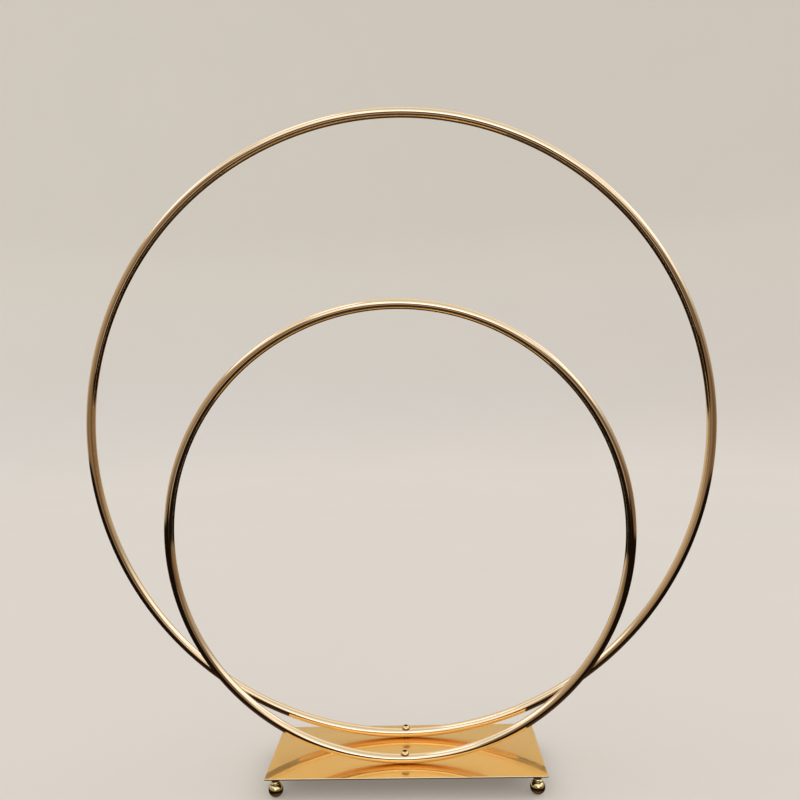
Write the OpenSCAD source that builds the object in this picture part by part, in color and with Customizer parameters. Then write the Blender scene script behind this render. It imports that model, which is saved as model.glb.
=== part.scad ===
// Double-hoop wreath frame: two tube hoops standing one behind the other on a
// flat base plate with ball feet. One screw goes down through each hoop, and
// the hoop can be turned about it. X runs along the plate, +Y to the rear,
// +Z up. The origin is on the ground at the middle of the plate.

/* [Hoops] */
// Outside diameter of the large hoop, which stands at the rear
large_hoop_d = 800; // [760:5:900]
// Outside diameter of the small hoop, which stands at the front
small_hoop_d = 565; // [500:5:620]
// Outside diameter of the hoop tube
tube_d = 12; // [10:0.5:14]
// Wall thickness of the hoop tube
tube_wall = 1; // [0.8:0.1:1.5]
// Distance between the planes of the two hoops
hoop_spacing = 70; // [60:1:90]

/* [Base plate] */
// Length of the plate, left to right
plate_w = 340; // [280:5:400]
// Depth of the plate, front to rear
plate_depth = 140; // [130:5:180]
// Thickness of the plate
plate_t = 2; // [1.5:0.5:4]
// Radius of the plate's corners, seen from above
plate_corner_r = 1.5; // [0.5:0.5:6]

/* [Feet] */
// Diameter of the ball of each foot
ball_d = 18; // [16:0.5:24]
// Diameter of the neck between the ball and the plate
neck_d = 12; // [10:0.5:14]
// Length of neck that shows above the ball
neck_h = 8; // [5:0.5:12]
// Distance from the plate's edges to the middle of each foot
foot_inset = 11.5; // [10:0.5:20]

/* [Fasteners] */
// Diameter of the screw through each hoop
screw_d = 6; // [5:1:6]
// Diameter of the screw's domed head
screw_head_d = 10.5; // [9:0.5:12]
// Height of the screw's domed head
screw_head_h = 3.5; // [3:0.1:4]
// Diameter of the stud that holds each foot
stud_d = 4; // [4:1:5]

/* [Hidden] */

$fn = 96;

// Clearances
turn_gap = 0.3;        // between a hoop and the faces it turns against
running_gap = 0.08;    // radial, between a hoop's hole and its screw
drill_gap = 0.2;       // radial, between a screw and the plate's hole
thread_gap = 0.05;     // radial, where a thread is drawn as a plain cylinder
cut = 1;               // how far a cutter runs past the face it cuts

// Feet
ball_r = ball_d / 2;
ball_flat = 0.3;       // depth of the small flat that each ball rests on
ball_centre_z = ball_r - ball_flat;
neck_z = ball_centre_z + ball_r;
foot_x = plate_w / 2 - foot_inset;
foot_y = plate_depth / 2 - foot_inset;
stud_length = 12;
stud_flange_d = stud_d + 1.5;
stud_flange_t = 0.8;   // weld flange of the stud, flat against the plate
stud_hole_spare = 1.5; // empty depth below the stud's tip
cove_r = 3.2;          // radius of the cove turned round the neck
cove_depth = 1.8;      // how deep the cove goes into the neck
cove_down = 5.5;       // from the plate down to the middle of the cove

// Heights
plate_z = neck_z + neck_h;
plate_top = plate_z + plate_t;
hoop_bottom = plate_top + turn_gap;
screw_seat = hoop_bottom + tube_d + turn_gap;

// Hoops
tube_r = tube_d / 2;
large_y = hoop_spacing / 2;
small_y = -hoop_spacing / 2;

// Screw, washer and nut
socket_af = 5;         // hexagon socket, across flats
socket_depth = 2;
head_rim = 0.6;        // straight edge under the dome
washer_d = 2 * screw_d;
washer_t = 1.6;
nut_af = 10;           // across flats
nut_t = 5;
screw_tail = 2;        // thread showing under the nut
nut_z = plate_z - washer_t - nut_t;
screw_tip = nut_z - screw_tail;

// A hexagon that measures "af" across its flats
module hexagon(af) {
  circle(d = af / cos(30), $fn = 6);
}

// Outline of the plate, with rounded corners
module plate_outline() {
  inner_w = plate_w - 2 * plate_corner_r;
  inner_depth = plate_depth - 2 * plate_corner_r;
  square([inner_w, plate_depth], center = true);
  square([plate_w, inner_depth], center = true);
  for (x = [-1, 1] * inner_w / 2, y = [-1, 1] * inner_depth / 2)
    translate([x, y])
      circle(r = plate_corner_r);
}

// The sheet-metal plate, with a hole for each hoop's screw
module base_plate() {
  color("goldenrod")
    difference() {
      translate([0, 0, plate_z])
        linear_extrude(plate_t)
          plate_outline();
      for (y = [small_y, large_y])
        translate([0, y, plate_z - cut])
          cylinder(r = screw_d / 2 + drill_gap, h = plate_t + 2 * cut);
    }
}

// A turned ball foot: ball and neck in one piece, with a cove round the neck,
// a blind hole for its stud and a counterbore for the stud's flange
module foot(side, end) {
  hole_depth = stud_length + stud_hole_spare;
  color("gold")
    translate([side * foot_x, end * foot_y, 0])
      difference() {
        union() {
          translate([0, 0, ball_centre_z])
            sphere(d = ball_d);
          translate([0, 0, ball_centre_z])
            cylinder(d = neck_d, h = plate_z - ball_centre_z);
        }
        translate([0, 0, -cut])
          cylinder(d = ball_d, h = cut);
        translate([0, 0, plate_z - cove_down])
          rotate_extrude()
            translate([neck_d / 2 + cove_r - cove_depth, 0])
              circle(r = cove_r);
        translate([0, 0, plate_z - hole_depth])
          cylinder(r = stud_d / 2 + thread_gap, h = hole_depth + cut);
        translate([0, 0, plate_z - stud_flange_t - drill_gap])
          cylinder(r = stud_flange_d / 2 + drill_gap, h = stud_flange_t + drill_gap + cut);
      }
}

// The threaded stud welded under the plate, which a foot screws onto
module foot_stud(side, end) {
  color("silver")
    translate([side * foot_x, end * foot_y, 0]) {
      translate([0, 0, plate_z - stud_length])
        cylinder(d = stud_d, h = stud_length);
      translate([0, 0, plate_z - stud_flange_t])
        cylinder(d = stud_flange_d, h = stud_flange_t);
    }
}

// A ring of round section in the XZ plane, "ring_r" to the section's middle
module ring(ring_r, section_r) {
  rotate([90, 0, 0])
    rotate_extrude($fn = 180)
      translate([ring_r, 0])
        circle(r = section_r, $fn = 36);
}

// A hoop of hollow tube that touches down at y, drilled through at the bottom
module hoop(outside_d, y) {
  ring_r = (outside_d - tube_d) / 2;
  color("gold")
    translate([0, y, hoop_bottom])
      difference() {
        translate([0, 0, outside_d / 2])
          difference() {
            ring(ring_r, tube_r);
            ring(ring_r, tube_r - tube_wall);
          }
        translate([0, 0, -cut])
          cylinder(r = screw_d / 2 + running_gap, h = tube_d + 2 * cut);
      }
}

// A screw with a domed head and a hexagon socket, going down through a hoop,
// the plate, a washer and a nut
module hoop_screw(y) {
  head_r = screw_head_d / 2;
  dome_h = screw_head_h - head_rim;
  crown_r = head_r * 0.56;      // the dome ends in a flat round the socket
  crown_rise = (pow(head_r, 2) - pow(crown_r, 2) + pow(dome_h, 2)) / (2 * dome_h);
  dome_r = sqrt(pow(crown_r, 2) + pow(crown_rise, 2));
  color("gold")
    translate([0, y, 0])
      difference() {
        union() {
          translate([0, 0, screw_tip])
            cylinder(d = screw_d, h = screw_seat - screw_tip);
          translate([0, 0, screw_seat])
            cylinder(r = head_r, h = head_rim);
          intersection() {
            translate([0, 0, screw_seat + screw_head_h - crown_rise])
              sphere(r = dome_r);
            translate([0, 0, screw_seat + head_rim])
              cylinder(r = head_r, h = dome_h);
          }
        }
        translate([0, 0, screw_seat + screw_head_h - socket_depth])
          linear_extrude(socket_depth + cut)
            hexagon(socket_af);
      }
}

// The flat washer between the plate and the nut
module hoop_washer(y) {
  color("silver")
    translate([0, y, plate_z - washer_t])
      difference() {
        cylinder(d = washer_d, h = washer_t);
        translate([0, 0, -cut])
          cylinder(r = screw_d / 2 + drill_gap, h = washer_t + 2 * cut);
      }
}

// The hexagon nut under the plate
module hoop_nut(y) {
  color("silver")
    translate([0, y, nut_z])
      difference() {
        linear_extrude(nut_t)
          hexagon(nut_af);
        translate([0, 0, -cut])
          cylinder(r = screw_d / 2 + thread_gap, h = nut_t + 2 * cut);
      }
}

base_plate();
foot(-1, -1);  // foot_front_left
foot(1, -1);  // foot_front_right
foot(-1, 1);  // foot_rear_left
foot(1, 1);  // foot_rear_right
foot_stud(-1, -1);  // stud_front_left
foot_stud(1, -1);  // stud_front_right
foot_stud(-1, 1);  // stud_rear_left
foot_stud(1, 1);  // stud_rear_right
hoop(large_hoop_d, large_y);  // large_hoop
hoop_screw(large_y);  // large_hoop_screw
hoop_washer(large_y);  // large_hoop_washer
hoop_nut(large_y);  // large_hoop_nut
hoop(small_hoop_d, small_y);  // small_hoop
hoop_screw(small_y);  // small_hoop_screw
hoop_washer(small_y);  // small_hoop_washer
hoop_nut(small_y);  // small_hoop_nut
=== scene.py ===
"""Double-hoop wreath frame: two polished tube hoops on a mirror-gold plate with brass ball feet."""
import math

import bmesh
import bpy
from mathutils import Matrix, Vector


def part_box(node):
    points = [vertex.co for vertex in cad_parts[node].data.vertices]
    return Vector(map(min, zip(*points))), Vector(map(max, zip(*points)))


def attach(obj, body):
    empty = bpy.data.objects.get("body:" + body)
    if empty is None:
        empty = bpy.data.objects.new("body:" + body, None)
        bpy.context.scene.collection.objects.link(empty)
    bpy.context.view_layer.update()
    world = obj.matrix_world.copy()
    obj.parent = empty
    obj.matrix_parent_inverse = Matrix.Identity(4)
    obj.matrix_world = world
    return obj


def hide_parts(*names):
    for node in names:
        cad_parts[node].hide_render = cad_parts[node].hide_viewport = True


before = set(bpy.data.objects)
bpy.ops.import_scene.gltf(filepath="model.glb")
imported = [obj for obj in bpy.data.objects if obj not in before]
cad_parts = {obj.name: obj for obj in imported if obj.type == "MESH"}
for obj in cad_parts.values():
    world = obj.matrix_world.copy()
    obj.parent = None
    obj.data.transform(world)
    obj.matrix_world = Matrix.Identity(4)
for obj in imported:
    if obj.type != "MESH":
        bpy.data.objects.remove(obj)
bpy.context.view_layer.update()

MM = 0.001
TAU = 2 * math.pi

# Sizes that more than one piece needs
PLAIN_HOLE_R = 3.2 * MM     # in the plate and the washers
SCREW_PITCH = 1 * MM        # on the screws and in the nuts


# ---------------------------------------------------------------- shader maths

class Value:
    """One output socket. Arithmetic on it adds Math nodes to the same tree."""

    def __init__(self, nodes, socket):
        self.nodes, self.socket = nodes, socket

    def __add__(self, other): return self.nodes.math("ADD", self, other)
    def __radd__(self, other): return self.nodes.math("ADD", other, self)
    def __sub__(self, other): return self.nodes.math("SUBTRACT", self, other)
    def __rsub__(self, other): return self.nodes.math("SUBTRACT", other, self)
    def __mul__(self, other): return self.nodes.math("MULTIPLY", self, other)
    def __rmul__(self, other): return self.nodes.math("MULTIPLY", other, self)
    def __truediv__(self, other): return self.nodes.math("DIVIDE", self, other)
    def __rtruediv__(self, other): return self.nodes.math("DIVIDE", other, self)
    def __pow__(self, other): return self.nodes.math("POWER", self, other)


class Nodes:
    """A material's or the world's node tree."""

    def __init__(self, owner):
        owner.use_nodes = True
        self.tree = owner.node_tree

    def add(self, kind, settings=None, sockets=None, output=0):
        """A node of that kind. Its settings come first, then a value or link for each socket."""
        node = self.tree.nodes.new(kind)
        for key, value in (settings or {}).items():
            setattr(node, key, value)
        self.fill(node, sockets or {})
        return Value(self, node.outputs[output])

    def fill(self, node, sockets):
        """Gives each named or numbered socket its value or link."""
        for key, value in sockets.items():
            if isinstance(value, Value):
                self.tree.links.new(value.socket, node.inputs[key])
            else:
                node.inputs[key].default_value = value

    def math(self, operation, *terms):
        return self.add("ShaderNodeMath", {"operation": operation}, dict(enumerate(terms)))

    def split(self, vector):
        return [self.add("ShaderNodeSeparateXYZ", None, {0: vector}, axis) for axis in range(3)]

    def join(self, x, y, z):
        return self.add("ShaderNodeCombineXYZ", None, {0: x, 1: y, 2: z})

    def step(self, value, low, high):
        """0 below low, 1 above high, and a smooth rise between them."""
        return self.add("ShaderNodeMapRange", {"interpolation_type": "SMOOTHSTEP"},
                        {"Value": value, "From Min": low, "From Max": high})

    def blend(self, amount, first, second):
        """From the first colour to the second as amount goes from 0 to 1."""
        colours = [c if isinstance(c, Value) else (*c, 1.0) for c in (first, second)]
        return self.add("ShaderNodeMix", {"data_type": "RGBA"},
                        {"Factor": amount, 6: colours[0], 7: colours[1]}, 2)

    def noise(self, place, scale, detail=2.0, roughness=0.5):
        return self.add("ShaderNodeTexNoise", None, {"Vector": place, "Scale": scale,
                                                     "Detail": detail, "Roughness": roughness})


class Finish(Nodes):
    """A material and its one Principled shader."""

    def __init__(self, name):
        self.material = bpy.data.materials.new(name)
        super().__init__(self.material)
        self.shader = self.tree.nodes["Principled BSDF"]

    def place(self):
        """Where a point lies on the piece, in metres, in the frame's axes."""
        return self.add("ShaderNodeTexCoord", output=3)

    def surface(self, colour, roughness, relief, **constants):
        """The finished material. Relief is the surface's height in metres."""
        bump = {"Strength": 1.0, "Distance": 1.0, "Height": relief}
        sockets = {"Base Color": colour, "Roughness": roughness,
                   "Normal": self.add("ShaderNodeBump", None, bump)}
        sockets.update({key.replace("_", " "): value for key, value in constants.items()})
        self.fill(self.shader, sockets)
        return self.material


# ---------------------------------------------------------------- finishes

def mirror_plate_gold(half_w, half_depth):
    """Polished sheet under yellow-gold plating: a clear mirror under fine haze, faintly wavy and
    lightly smeared. The colour is painted paler along the eased edges, a painted highlight."""
    f = Finish("mirror_plate_gold")
    place = f.place()
    x, y, z = f.split(place)
    rolling = f.noise(f.join(x * 5, y * 14, z), 1.0, 1.0)
    ripple = f.noise(place, 26.0, 1.0)
    rolling_height, ripple_height = 0.16 * MM, 0.02 * MM
    smears = f.step(f.noise(place, 17.0, 4.0, 0.6), 0.45, 0.75)
    haze = f.step(f.noise(place, 2600.0, 1.0) + smears * 0.03, 0.47, 0.53)
    tone = f.noise(place, 6.0, 2.0)
    from_end = half_w - f.math("ABSOLUTE", x)
    from_side = half_depth - f.math("ABSOLUTE", y)
    # painted highlight: the colour is paler within about a millimetre of the edges, where they
    # catch the light
    painted_edge_highlight = 1 - f.step(f.math("MINIMUM", from_end, from_side), 0.8 * MM, 1.4 * MM)
    colour = f.blend(tone, (0.92, 0.565, 0.165), (0.91, 0.585, 0.195))
    colour = f.blend(painted_edge_highlight, colour, (1.0, 0.77, 0.42))
    roughness = 0.04 + smears * 0.04 + haze * 0.32
    return f.surface(colour, roughness, rolling * rolling_height + ripple * ripple_height,
                     Metallic=1.0)


def hoop_gold(name, ring_r, centre):
    """Champagne-gold plating on tube, with fine draw lines that run along the tube."""
    f = Finish(name)
    x, y, z = f.split(f.place())
    up = z - centre.z
    out = (x * x + up * up) ** 0.5 - ring_r
    around = f.math("ARCTAN2", y - centre.y, out)
    along = f.math("ARCTAN2", x, up) * ring_r
    section = f.math("COSINE", around), f.math("SINE", around)

    def streaks(across, lengthwise, detail, roughness=0.5):
        """Noise drawn out along the tube."""
        place = f.join(section[0] * across, section[1] * across, along * lengthwise)
        return f.noise(place, 1.0, detail, roughness)

    draw_lines = streaks(9, 3, 3.0, 0.6)
    buffing = streaks(2, 22, 2.0)
    tone = streaks(1, 5, 2.0)
    line_height, buffing_height = 0.012 * MM, 0.02 * MM
    colour = f.blend(tone, (0.95, 0.72, 0.415), (0.94, 0.745, 0.46))
    roughness = 0.03 + f.step(draw_lines, 0.45, 0.7) * 0.03 + f.step(buffing, 0.5, 0.75) * 0.02
    return f.surface(colour, roughness, draw_lines * line_height + buffing * buffing_height,
                     Metallic=1.0)


def turned_brass():
    """Lathe-turned and lacquered brass, with faint rings left by the tool."""
    f = Finish("turned_brass")
    place = f.place()
    x, y, z = f.split(place)
    rings = f.noise(f.join(x * 30, y * 30, z * 5200), 1.0, 2.0)
    ring_height = 0.006 * MM
    tarnish = f.noise(place, 160.0, 3.0, 0.6)
    colour = f.blend(f.step(tarnish, 0.35, 0.75), (0.95, 0.82, 0.42), (0.90, 0.72, 0.31))
    roughness = 0.05 + rings * 0.04 + f.step(tarnish, 0.5, 0.8) * 0.06
    return f.surface(colour, roughness, rings * ring_height, Metallic=1.0)


def screw_gold(name, x, y, top, seat):
    """Thin gold plating on the screw, with painted shade: the rim under the head, the shank in its
    hole and the socket are painted dark, where shade falls."""
    f = Finish(name)
    place = f.place()
    at_x, at_y, at_z = f.split(place)
    off_x, off_y = at_x - x, at_y - y
    out = (off_x * off_x + off_y * off_y) ** 0.5
    # painted shade: the socket, shank and rim masks below mark where the colour is painted dark
    in_socket = 1 - f.step(out, 2.85 * MM, 2.92 * MM)
    socket = in_socket * (1 - f.step(at_z, top - 0.30 * MM, top - 0.05 * MM))
    shank = 1 - f.step(at_z, seat - 0.10 * MM, seat - 0.02 * MM)
    rim = 1 - f.step(at_z, seat + 0.35 * MM, seat + 0.75 * MM)
    grain = f.noise(place, 1400.0, 3.0, 0.6)
    grain_height = 0.008 * MM
    patches = f.noise(place, 240.0, 2.0)
    colour = f.blend(patches, (0.95, 0.67, 0.28), (0.92, 0.66, 0.30))
    # painted shade on the rim under the head, on the shank in its hole and in the socket
    for shaded, shade_colour in ((rim, (0.40, 0.22, 0.07)), (shank, (0.42, 0.16, 0.05)),
                       (socket, (0.09, 0.045, 0.03))):
        colour = f.blend(shaded, colour, shade_colour)
    roughness = 0.08 + grain * 0.08 + socket * 0.3 + shank * 0.4
    return f.surface(colour, roughness, grain * grain_height, Metallic=1.0)


def bright_zinc():
    """Zinc plating: pale grey with a faint blue bloom, rougher where it is thin."""
    f = Finish("bright_zinc")
    place = f.place()
    bloom = f.noise(place, 210.0, 3.0, 0.6)
    grain = f.noise(place, 2600.0, 2.0)
    grain_height = 0.006 * MM
    colour = f.blend(f.step(bloom, 0.35, 0.7), (0.72, 0.73, 0.74), (0.60, 0.64, 0.70))
    roughness = 0.24 + grain * 0.1 + f.step(bloom, 0.45, 0.75) * 0.12
    return f.surface(colour, roughness, grain * grain_height, Metallic=1.0)


def studio_paper():
    """Matt seamless paper with a soft light of its own, stronger up the wall."""
    f = Finish("studio_paper")
    place = f.place()
    mottle = f.noise(place, 2.2, 3.0)
    grain = f.noise(place, 900.0, 2.0)
    grain_height = 0.05 * MM
    up_the_wall = f.step(f.split(place)[2], 0.0, 1.6)
    colour = f.blend(mottle, (0.585, 0.545, 0.455), (0.62, 0.575, 0.485))
    glow = f.blend(up_the_wall, (0.18, 0.165, 0.14), (0.38, 0.355, 0.30))
    return f.surface(colour, 0.85 + grain * 0.1, grain * grain_height, Emission_Color=glow,
                     Emission_Strength=1.0)


def glowing_cloth(top):
    """Creased dark cloth over a bench, with a dim glow of its own that is painted light: pale on
    top, lighter and darker with the folds, and almost none underneath."""
    f = Finish("glowing_cloth")
    place = f.place()
    folds = f.noise(place, 9.0, 3.0)
    weave = f.noise(place, 1200.0, 2.0)
    weave_height = 0.05 * MM
    # painted light: the top glows pale, with lighter and darker folds, while the sides and
    # underneath hardly glow
    glowing_top = f.step(f.split(place)[2], top - 12 * MM, top - 4 * MM)
    fold_glow = f.blend(folds, (0.22, 0.18, 0.16), (0.38, 0.33, 0.31))
    glow = f.blend(glowing_top, (0.006, 0.004, 0.003), fold_glow)
    colour = f.blend(weave, (0.03, 0.027, 0.025), (0.05, 0.045, 0.04))
    return f.surface(colour, 0.9 + weave * 0.1, weave * weave_height, Emission_Color=glow,
                     Emission_Strength=1.0)


# ---------------------------------------------------------------- mesh building

def circle(x, y, z, radius, count):
    """A level ring of points round an upright axis. Radius is a number, or a function of the
    angle."""
    points = []
    for k in range(count):
        a = TAU * k / count
        r = radius(a) if callable(radius) else radius
        points.append(Vector((x + r * math.cos(a), y + r * math.sin(a), z)))
    return points


def arc(centre, radius, start_deg, end_deg, count):
    """Points (across, up) on an arc in a profile."""
    angles = [math.radians(start_deg + (end_deg - start_deg) * k / count)
              for k in range(count + 1)]
    return [(centre[0] + radius * math.cos(a), centre[1] + radius * math.sin(a)) for a in angles]


def turned(x, y, profile, count):
    """The rings of a turned part from its profile of (radius, height)."""
    return [circle(x, y, z, r, count) for r, z in profile]


def hexagon(across_flats):
    """Radius of a hexagon as a function of the angle."""
    def radius(a):
        off = (a + math.pi / 6) % (math.pi / 3) - math.pi / 6
        return across_flats / 2 / math.cos(off)
    return radius


def thread(crest_r, depth, pitch, top, bottom):
    """A screw thread as (height, radius), from top down. It runs out smoothly at both ends, and a
    negative depth cuts outward, into the wall of a hole."""
    rings_a_turn = 8
    count = int((top - bottom) / pitch * rings_a_turn)
    rows = []
    for k in range(count + 1):
        z = top - (top - bottom) * k / count
        fade = min(1.0, 2 * (top - z) / pitch, 2 * (z - bottom) / pitch)

        def radius(a, z=z, fade=fade):
            phase = (z / pitch + a / TAU) % 1.0
            groove = 1 - abs(2 * phase - 1)
            return crest_r - depth * fade * min(1.0, max(0.0, groove * 1.25 - 0.12))
        rows.append((z, radius))
    return rows


def band(bm, first, second):
    """A strip of four-sided faces between two closed loops of points."""
    for k in range(len(first)):
        nxt = (k + 1) % len(first)
        bm.faces.new((first[k], first[nxt], second[nxt], second[k]))


def piece_from(bm, name):
    """A new object in the scene with that mesh."""
    mesh = bpy.data.meshes.new(name)
    bm.to_mesh(mesh)
    bm.free()
    piece = bpy.data.objects.new(name, mesh)
    bpy.context.scene.collection.objects.link(piece)
    return piece


def skin(name, rings, endless=False, close=(True, True), sharp_deg=40):
    """A smooth piece through rings of equally many points, with sharp edges where it bends by
    more than sharp_deg. An open one gets a flat face over each end that close says."""
    bm = bmesh.new()
    rows = [[bm.verts.new(p) for p in ring] for ring in rings]
    for low, high in zip(rows, rows[1:]):
        band(bm, low, high)
    if endless:
        band(bm, rows[-1], rows[0])
    else:
        for row, wanted in zip((rows[0], rows[-1]), close):
            if wanted:
                bm.faces.new(row)
    bmesh.ops.recalc_face_normals(bm, faces=bm.faces)
    for face in bm.faces:
        face.smooth = len(face.verts) <= 4
    piece = piece_from(bm, name)
    piece.data.set_sharp_from_angle(angle=math.radians(sharp_deg))
    return piece


def drill(piece, x, y, bottom, top, radius):
    """Cuts an upright round hole through a piece."""
    tool = skin("drill", [circle(x, y, z, radius, 48) for z in (bottom, top)])
    cut = piece.modifiers.new("drill", "BOOLEAN")
    cut.operation, cut.solver, cut.object = "DIFFERENCE", "EXACT", tool
    bpy.context.view_layer.update()
    finished = piece.evaluated_get(bpy.context.evaluated_depsgraph_get())
    drilled = bpy.data.meshes.new_from_object(finished)
    piece.modifiers.clear()
    whole, name = piece.data, piece.data.name
    piece.data = drilled
    bpy.data.meshes.remove(whole)
    drilled.name = name
    tool_mesh = tool.data
    bpy.data.objects.remove(tool)
    bpy.data.meshes.remove(tool_mesh)


# ---------------------------------------------------------------- the pieces

def node_box(node):
    """A CAD node's lowest and highest corners and the middle between them."""
    low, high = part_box(node)
    return low, high, (low + high) / 2


def fit(piece, material, body, node):
    """Gives a piece its finish and body. It stands for that CAD node."""
    piece.data.materials.append(material)
    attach(piece, body)
    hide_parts(node)
    return piece


def make_plate():
    """Laser-cut sheet with eased edges and a hole for each hoop's screw."""
    low, high, _ = node_box("base_plate")
    material = mirror_plate_gold(high.x, high.y)
    corner_r, ease = 1.5 * MM, 0.75 * MM
    corner_steps, ease_steps, hole_sides = 8, 6, 48
    bm = bmesh.new()

    def outline(inset, z):
        points = []
        for sx, sy, start in ((1, 1, 0), (-1, 1, 90), (-1, -1, 180), (1, -1, 270)):
            corner = (high.x - corner_r if sx > 0 else low.x + corner_r,
                      high.y - corner_r if sy > 0 else low.y + corner_r)
            quarter = arc(corner, corner_r - inset, start, start + 90, corner_steps)
            points += [bm.verts.new((x, y, z)) for x, y in quarter]
        return points

    eased = arc((0, 0), ease, 0, 90, ease_steps)
    loops = [outline(ease - out, low.z + ease - up) for out, up in reversed(eased)]
    loops += [outline(ease - out, high.z - ease + up) for out, up in eased]
    holes = []
    for node in ("large_hoop_screw", "small_hoop_screw"):
        c = node_box(node)[2]
        holes.append([[bm.verts.new(p) for p in circle(c.x, c.y, z, PLAIN_HOLE_R, hole_sides)]
                      for z in (low.z, high.z)])
    for first, second in list(zip(loops, loops[1:])) + holes:
        band(bm, first, second)
    for side, rim in ((0, loops[0]), (1, loops[-1])):
        edges = []
        for loop in [rim] + [hole[side] for hole in holes]:
            edges += [bm.edges.get((loop[k], loop[(k + 1) % len(loop)]))
                      for k in range(len(loop))]
        bmesh.ops.triangle_fill(bm, use_beauty=True, use_dissolve=False, edges=edges)
    bmesh.ops.recalc_face_normals(bm, faces=bm.faces)
    level = 0.999
    for face in bm.faces:
        face.smooth = abs(face.normal.z) < level
    return fit(piece_from(bm, "plate_sheet"), material, "stand", "base_plate")


def make_hoop(size, body):
    """A hollow tube bent to a ring, drilled through at the bottom for its screw."""
    node = size + "_hoop"
    low, high, c = node_box(node)
    tube_r = (high.y - low.y) / 2
    ring_r = (high.x - low.x) / 2 - tube_r
    wall, screw_hole_r, overrun = 1 * MM, 3.08 * MM, 1 * MM
    ring_steps, outer_sides, inner_sides = 720, 48, 24
    bm = bmesh.new()

    def section(i, section_r, sides):
        """The tube's round section, that many steps along the ring from its bottom."""
        a = TAU * i / ring_steps
        points = []
        for j in range(sides):
            b = TAU * j / sides
            r = ring_r + section_r * math.cos(b)
            points.append(bm.verts.new((c.x + r * math.sin(a), c.y + section_r * math.sin(b),
                                        c.z - r * math.cos(a))))
        return points

    outer = [section(i, tube_r, outer_sides) for i in range(ring_steps)]
    for i in range(ring_steps):
        band(bm, outer[i], outer[(i + 1) % ring_steps])
    inner = [section(i, tube_r - wall, inner_sides) for i in range(ring_steps)]
    for i in range(ring_steps):
        band(bm, inner[(i + 1) % ring_steps], inner[i])
    for face in bm.faces:
        face.smooth = True
    piece = piece_from(bm, node + "_tube")
    drill(piece, c.x, c.y, low.z - overrun, low.z + 2 * tube_r + overrun, screw_hole_r)
    return fit(piece, hoop_gold(node + "_gold", ring_r, c), body, node)


def make_foot(corner, material):
    """A turned ball foot with a cove round its neck and a blind hole for its stud."""
    node = "foot_" + corner
    low, high, c = node_box(node)
    ball_r, neck_r = (high.x - low.x) / 2, 6 * MM
    flat, soft = 0.3 * MM, 0.25 * MM
    cove_r, cove_depth, cove_down, lip_deg = 3.2 * MM, 1.8 * MM, 5.5 * MM, 4
    seat_r, seat_depth = 2.95 * MM, 1 * MM
    hole_r, hole_depth = 2.05 * MM, 13.5 * MM
    ball_z = low.z + ball_r - flat
    cove_x, cove_z = neck_r + cove_r - cove_depth, high.z - cove_down
    mouth = math.degrees(math.acos((cove_x - neck_r) / cove_r))
    reach = cove_r * math.sin(math.radians(mouth))
    start = math.degrees(math.asin((ball_r - flat) / ball_r))
    end = math.degrees(math.acos(neck_r / ball_r))
    profile = arc((0, ball_z), ball_r, -start, end, 40)
    profile += [(neck_r, profile[-1][1] + soft), (neck_r, cove_z - reach - soft)]
    profile += arc((cove_x, cove_z), cove_r, 180 + mouth - lip_deg, 180 - mouth + lip_deg, 24)
    profile += [(neck_r, cove_z + reach + soft), (neck_r, high.z - soft),
                (neck_r - soft, high.z), (seat_r, high.z), (seat_r, high.z - seat_depth),
                (hole_r, high.z - seat_depth), (hole_r, high.z - hole_depth)]
    piece = skin(node + "_turned", turned(c.x, c.y, profile, 72), sharp_deg=32)
    return fit(piece, material, "stand", node)


def make_stud(corner, material):
    """A threaded weld stud with a low flange."""
    node = "stud_" + corner
    low, high, c = node_box(node)
    rod_r, pitch, thread_depth = 2 * MM, 0.7 * MM, 0.4 * MM
    flange_r, flange_t, ease = 2.75 * MM, 0.8 * MM, 0.1 * MM
    plain_h, point_h, point_in = 1.2 * MM, 0.5 * MM, 0.45 * MM
    count = 36
    rings = turned(c.x, c.y, [(flange_r - ease, high.z), (flange_r, high.z - ease),
                              (flange_r, high.z - flange_t), (rod_r, high.z - flange_t)], count)
    cut = thread(rod_r, thread_depth, pitch, high.z - plain_h, low.z + point_h)
    rings += [circle(c.x, c.y, z, r, count) for z, r in cut]
    rings.append(circle(c.x, c.y, low.z, rod_r - point_in, count))
    return fit(skin(node + "_threaded", rings), material, "stand", node)


def make_screw(size):
    """A domed socket screw: hexagon socket, low domed head, plain shank and thread."""
    node = size + "_hoop_screw"
    low, high, c = node_box(node)
    head_r, head_h, rim_h, rim_ease = (high.x - low.x) / 2, 3.5 * MM, 0.6 * MM, 0.12 * MM
    socket_af, socket_depth = 5 * MM, 2 * MM
    shank_r, into_plate, thread_depth, point_h = 3 * MM, 1 * MM, 0.6 * MM, 0.6 * MM
    top, tip, seat = high.z, low.z, high.z - head_h
    crown_r, dome_h = head_r * 0.56, head_h - rim_h
    rise = (head_r ** 2 - crown_r ** 2 + dome_h ** 2) / (2 * dome_h)
    dome_r, dome_z = math.hypot(crown_r, rise), top - rise
    start = math.degrees(math.atan2(rise, crown_r))
    end = math.degrees(math.atan2(seat + rim_h - dome_z, head_r))
    count = 72
    socket = ((socket_depth, hexagon(socket_af * 0.98)), (0.2 * MM, hexagon(socket_af)),
              (0.03 * MM, hexagon(socket_af * 1.005)), (0, crown_r - 0.01 * MM))
    rings = [circle(c.x, c.y, top - down, outline, count) for down, outline in socket]
    rings += turned(c.x, c.y, arc((0, dome_z), dome_r, start, end, 14), count)
    rings += turned(c.x, c.y, [(head_r, seat + rim_ease), (head_r - rim_ease, seat),
                               (shank_r, seat)], count)
    thread_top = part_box("base_plate")[0].z + into_plate
    cut = thread(shank_r, thread_depth, SCREW_PITCH, thread_top, tip + point_h)
    rings += [circle(c.x, c.y, z, r, count) for z, r in cut]
    rings.append(circle(c.x, c.y, tip, shank_r - thread_depth, count))
    piece = skin(node + "_forged", rings, sharp_deg=35)
    material = screw_gold(node + "_gold", c.x, c.y, top, seat)
    return fit(piece, material, "stand", node)


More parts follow.
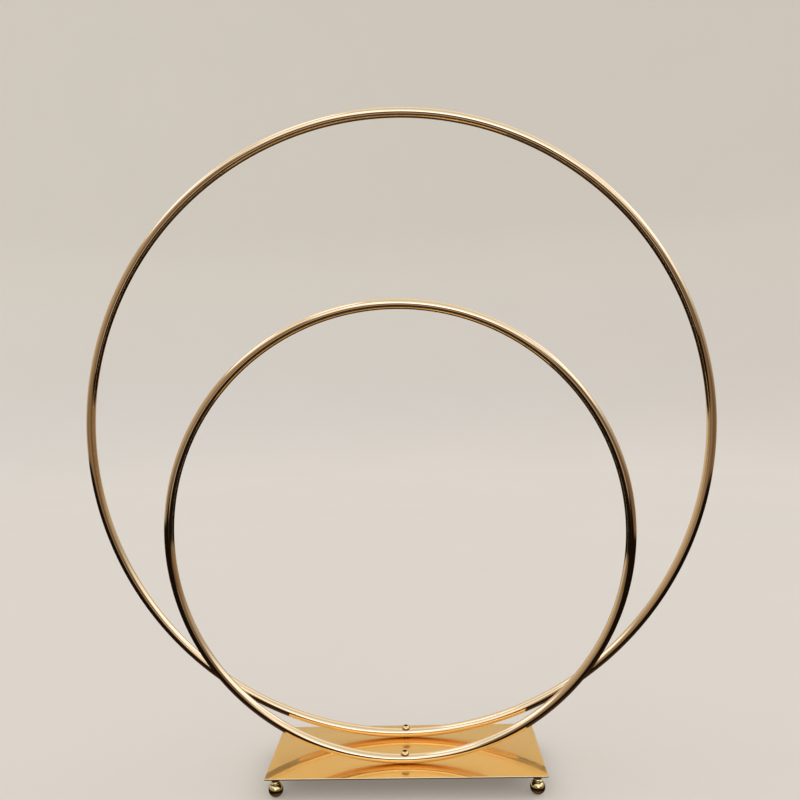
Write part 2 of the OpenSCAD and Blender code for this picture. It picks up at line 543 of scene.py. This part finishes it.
def make_washer(size, material):
    """A stamped washer: rounded on the punch side, sharper on the die side."""
    node = size + "_hoop_washer"
    low, high, c = node_box(node)
    outer, inner, top, bottom = (high.x - low.x) / 2, PLAIN_HOLE_R, high.z, low.z
    burr, sharp, soft = 0.08 * MM, 0.1 * MM, 0.3 * MM
    profile = [(inner + burr, bottom), (outer - soft, bottom), (outer - sharp, bottom + burr),
               (outer, bottom + soft), (outer, top - sharp), (outer - sharp, top),
               (inner + 0.25 * MM, top), (inner + 0.05 * MM, top - sharp), (inner, top - soft),
               (inner, bottom + burr)]
    rings = turned(c.x, c.y, profile, 72)
    piece = skin(node + "_stamped", rings, endless=True, sharp_deg=30)
    return fit(piece, material, "stand", node)


def make_nut(size, material):
    """A hexagon nut with chamfered corners and a threaded hole."""
    node = size + "_hoop_nut"
    low, high, c = node_box(node)
    flats = 10 * MM
    mouth_r, crest_r, groove_depth, thread_in = 3.4 * MM, 3.05 * MM, 0.3 * MM, 0.35 * MM
    flat_r, slope = flats / 2 * 0.96, math.tan(math.radians(30))
    outer = hexagon(flats)

    def chamfered(depth):
        """The nut's radius at that depth below its nearer face."""
        return lambda a: min(outer(a), flat_r + depth / slope)

    count = 96
    depths = [tenths * 0.1 * MM for tenths in range(6)]
    rings = [circle(c.x, c.y, low.z, mouth_r, count)]
    rings += [circle(c.x, c.y, low.z + d, chamfered(d), count) for d in depths]
    rings += [circle(c.x, c.y, high.z - d, chamfered(d), count) for d in reversed(depths)]
    rings.append(circle(c.x, c.y, high.z, mouth_r, count))
    cut = thread(crest_r, -groove_depth, SCREW_PITCH, high.z - thread_in, low.z + thread_in)
    rings += [circle(c.x, c.y, z, r, count) for z, r in cut]
    piece = skin(node + "_tapped", rings, endless=True, sharp_deg=30)
    return fit(piece, material, "stand", node)


# ---------------------------------------------------------------- studio

def make_sweep():
    """A wide round floor of seamless paper that curves up to a plain wall all round."""
    flat_r, bend_r, wall_h = 3.2, 1.6, 3.0
    profile = [(r, 0.0) for r in (0.02, 0.5, 1.2, 2.2)]
    profile += [(flat_r + out, bend_r + up) for out, up in arc((0, 0), bend_r, -90, 0, 24)]
    profile.append((flat_r + bend_r, bend_r + wall_h))
    rings = turned(0, 0, profile, 96)
    sweep = skin("paper_sweep", rings, close=(True, False), sharp_deg=180)
    sweep.data.materials.append(studio_paper())
    sweep.visible_glossy = sweep.visible_diffuse = sweep.visible_shadow = False


def make_bench():
    """A low oval bench behind the camera, covered in cloth. It shows only in the metal."""
    half_w, half_depth, top = 0.50, 0.70, 0.17
    x, y = -0.02, -1.55
    rounded = ((30, 10), (24, 2), (14, 0), (5, 2), (0, 12))     # (down, in) in mm, bottom to top

    def oval(inset):
        return lambda a: 1 / math.hypot(math.cos(a) / (half_w - inset),
                                        math.sin(a) / (half_depth - inset))

    rings = [circle(x, y, top - down * MM, oval(inset * MM), 64) for down, inset in rounded]
    bench = skin("cloth_bench", rings, sharp_deg=60)
    bench.data.materials.append(glowing_cloth(top))
    bench.visible_camera = bench.visible_diffuse = bench.visible_shadow = False


class Room(Nodes):
    """The room as the frame sees it. A heading is in degrees: 0 is the rear, 90 the right and
    180 the front."""

    def __init__(self, world):
        super().__init__(world)
        self.x, self.y, self.z = self.split(self.add("ShaderNodeTexCoord", output=0))
        level = (self.x * self.x + self.y * self.y) ** 0.5
        self.right, self.rear = self.x / level, self.y / level

    def toward(self, heading, inner, outer):
        """1 within inner degrees of a heading and 0 beyond outer degrees."""
        a = math.radians(heading)
        return self.step(self.right * math.sin(a) + self.rear * math.cos(a),
                         math.cos(math.radians(outer)), math.cos(math.radians(inner)))

    def above(self, low, high):
        """0 below the low elevation and 1 above the high one, in degrees."""
        return self.step(self.z, math.sin(math.radians(low)), math.sin(math.radians(high)))

    def lamp(self, heading, elevation, inner, outer):
        """A round lamp: 1 within inner degrees of its middle and 0 beyond outer degrees."""
        a, e = math.radians(heading), math.radians(elevation)
        near = (self.x * (math.sin(a) * math.cos(e)) + self.y * (math.cos(a) * math.cos(e))
                + self.z * math.sin(e))
        return self.step(near, math.cos(math.radians(outer)), math.cos(math.radians(inner)))

    def walls(self, ahead):
        """Grey-brown walls, darkest to the front, with the paler and darker patches on them."""
        patches = (
            # the paler left side
            (self.step(self.right, 0.1, -0.7) * 0.45, (0.60, 0.52, 0.46)),
            # low down on the right, and grey above that
            (self.step(self.right, 0.1, 0.9) * (1 - self.above(-3, 13)) * 0.75,
             (0.16, 0.095, 0.055)),
            (self.step(self.right, 0.1, 0.6) * self.above(2, 17) * 0.8, (0.40, 0.375, 0.36)),
            # low down at the front left
            (self.toward(-126, 20, 42) * (1 - self.above(-3, 14)) * 0.75, (0.13, 0.095, 0.07)),
            # a dark post at the front right
            (self.toward(150, 5, 11) * 0.8, (0.09, 0.07, 0.065)),
            # a blue-grey strip at the rear and a cream panel over it
            (ahead * self.above(17, 23), (0.50, 0.58, 0.82)),
            (ahead * self.above(24, 30), (0.94, 0.80, 0.56)),
        )
        colour = self.blend(self.step(self.rear, -0.9, 0.9), (0.20, 0.135, 0.09),
                            (0.60, 0.53, 0.46))
        for amount, patch in patches:
            colour = self.blend(amount, colour, patch)
        return colour

    def ceiling(self):
        """White, and dimmer high up, most of all to the front."""
        overhead = self.blend(self.step(self.y, 0.02, 0.35), (0.68, 0.70, 0.75),
                              (1.00, 1.02, 1.05))
        return self.blend(self.above(34, 66), (1.12, 1.13, 1.26), overhead)

    def lamps(self):
        """1 where a lamp is. Each has a heading, an elevation, and an inner and outer radius."""
        places = ((88, 36, 6, 8), (50, 36, 6, 8), (-85, 47, 7, 9), (176, 17, 7, 9),
                  (-171, 42, 4, 6), (-90, 73, 7, 10))
        return sum(self.lamp(*place) for place in places)


def light_room():
    """Soft light from all round: a bright white ceiling with lamps, grey-brown walls and a dark
    floor. The heights at which the walls end vary with the heading."""
    world = bpy.data.worlds.new("room")
    bpy.context.scene.world = world
    room = Room(world)
    ahead = room.toward(0, 18, 44)
    behind = room.toward(177, 12, 21)
    wall_top = 0.44 - room.x * 0.18 + ahead * 0.42 - behind * 0.28
    wall_foot = -0.15 - room.x * 0.06 + room.toward(180, 20, 50) * 0.03
    soft_top = 0.05 + room.toward(88, 12, 42) * 0.16
    lamp_white = (1.9, 2.0, 2.8)
    floor = room.blend(room.above(-33, -80), (0.008, 0.005, 0.004), (0.085, 0.055, 0.035))

    seen = room.blend(room.step(room.z - wall_top, -0.03, soft_top), room.walls(ahead),
                      room.ceiling())
    seen = room.blend(room.lamps(), seen, lamp_white)
    seen = room.blend(room.step(room.z - wall_foot, -0.03, 0.02), floor, seen)
    room.fill(room.tree.nodes["Background"], {"Color": seen, "Strength": 1.0})


def place_camera():
    """Looks at the frame from the front, a little above its middle and turned slightly to one
    side."""
    data = bpy.data.cameras.new("camera")
    camera = bpy.data.objects.new("camera", data)
    bpy.context.scene.collection.objects.link(camera)
    turn, tilt, roll = math.radians(-3.41), math.radians(6.39), math.radians(2.41)
    look = (Matrix.Rotation(-turn, 4, "Z") @ Matrix.Rotation(math.pi / 2 - tilt, 4, "X")
            @ Matrix.Rotation(-roll, 4, "Z"))
    camera.matrix_world = Matrix.Translation((0.0344, -0.9281, 0.4968)) @ look
    data.sensor_fit = "HORIZONTAL"
    data.sensor_width = 36
    data.lens = 34.15
    data.shift_x, data.shift_y = 0.0279, 0.0851
    data.clip_start = 0.01
    data.dof.use_dof = False
    bpy.context.scene.camera = camera


# ---------------------------------------------------------------- the build

place_camera()
light_room()
make_sweep()
make_bench()
bpy.context.scene.view_settings.view_transform = "Standard"

make_plate()
brass, zinc = turned_brass(), bright_zinc()
for corner in ("front_left", "front_right", "rear_left", "rear_right"):
    make_foot(corner, brass)
    make_stud(corner, zinc)
for size, body in (("large", "large_ring"), ("small", "small_ring")):
    make_hoop(size, body)
    make_screw(size)
    make_washer(size, zinc)
    make_nut(size, zinc)
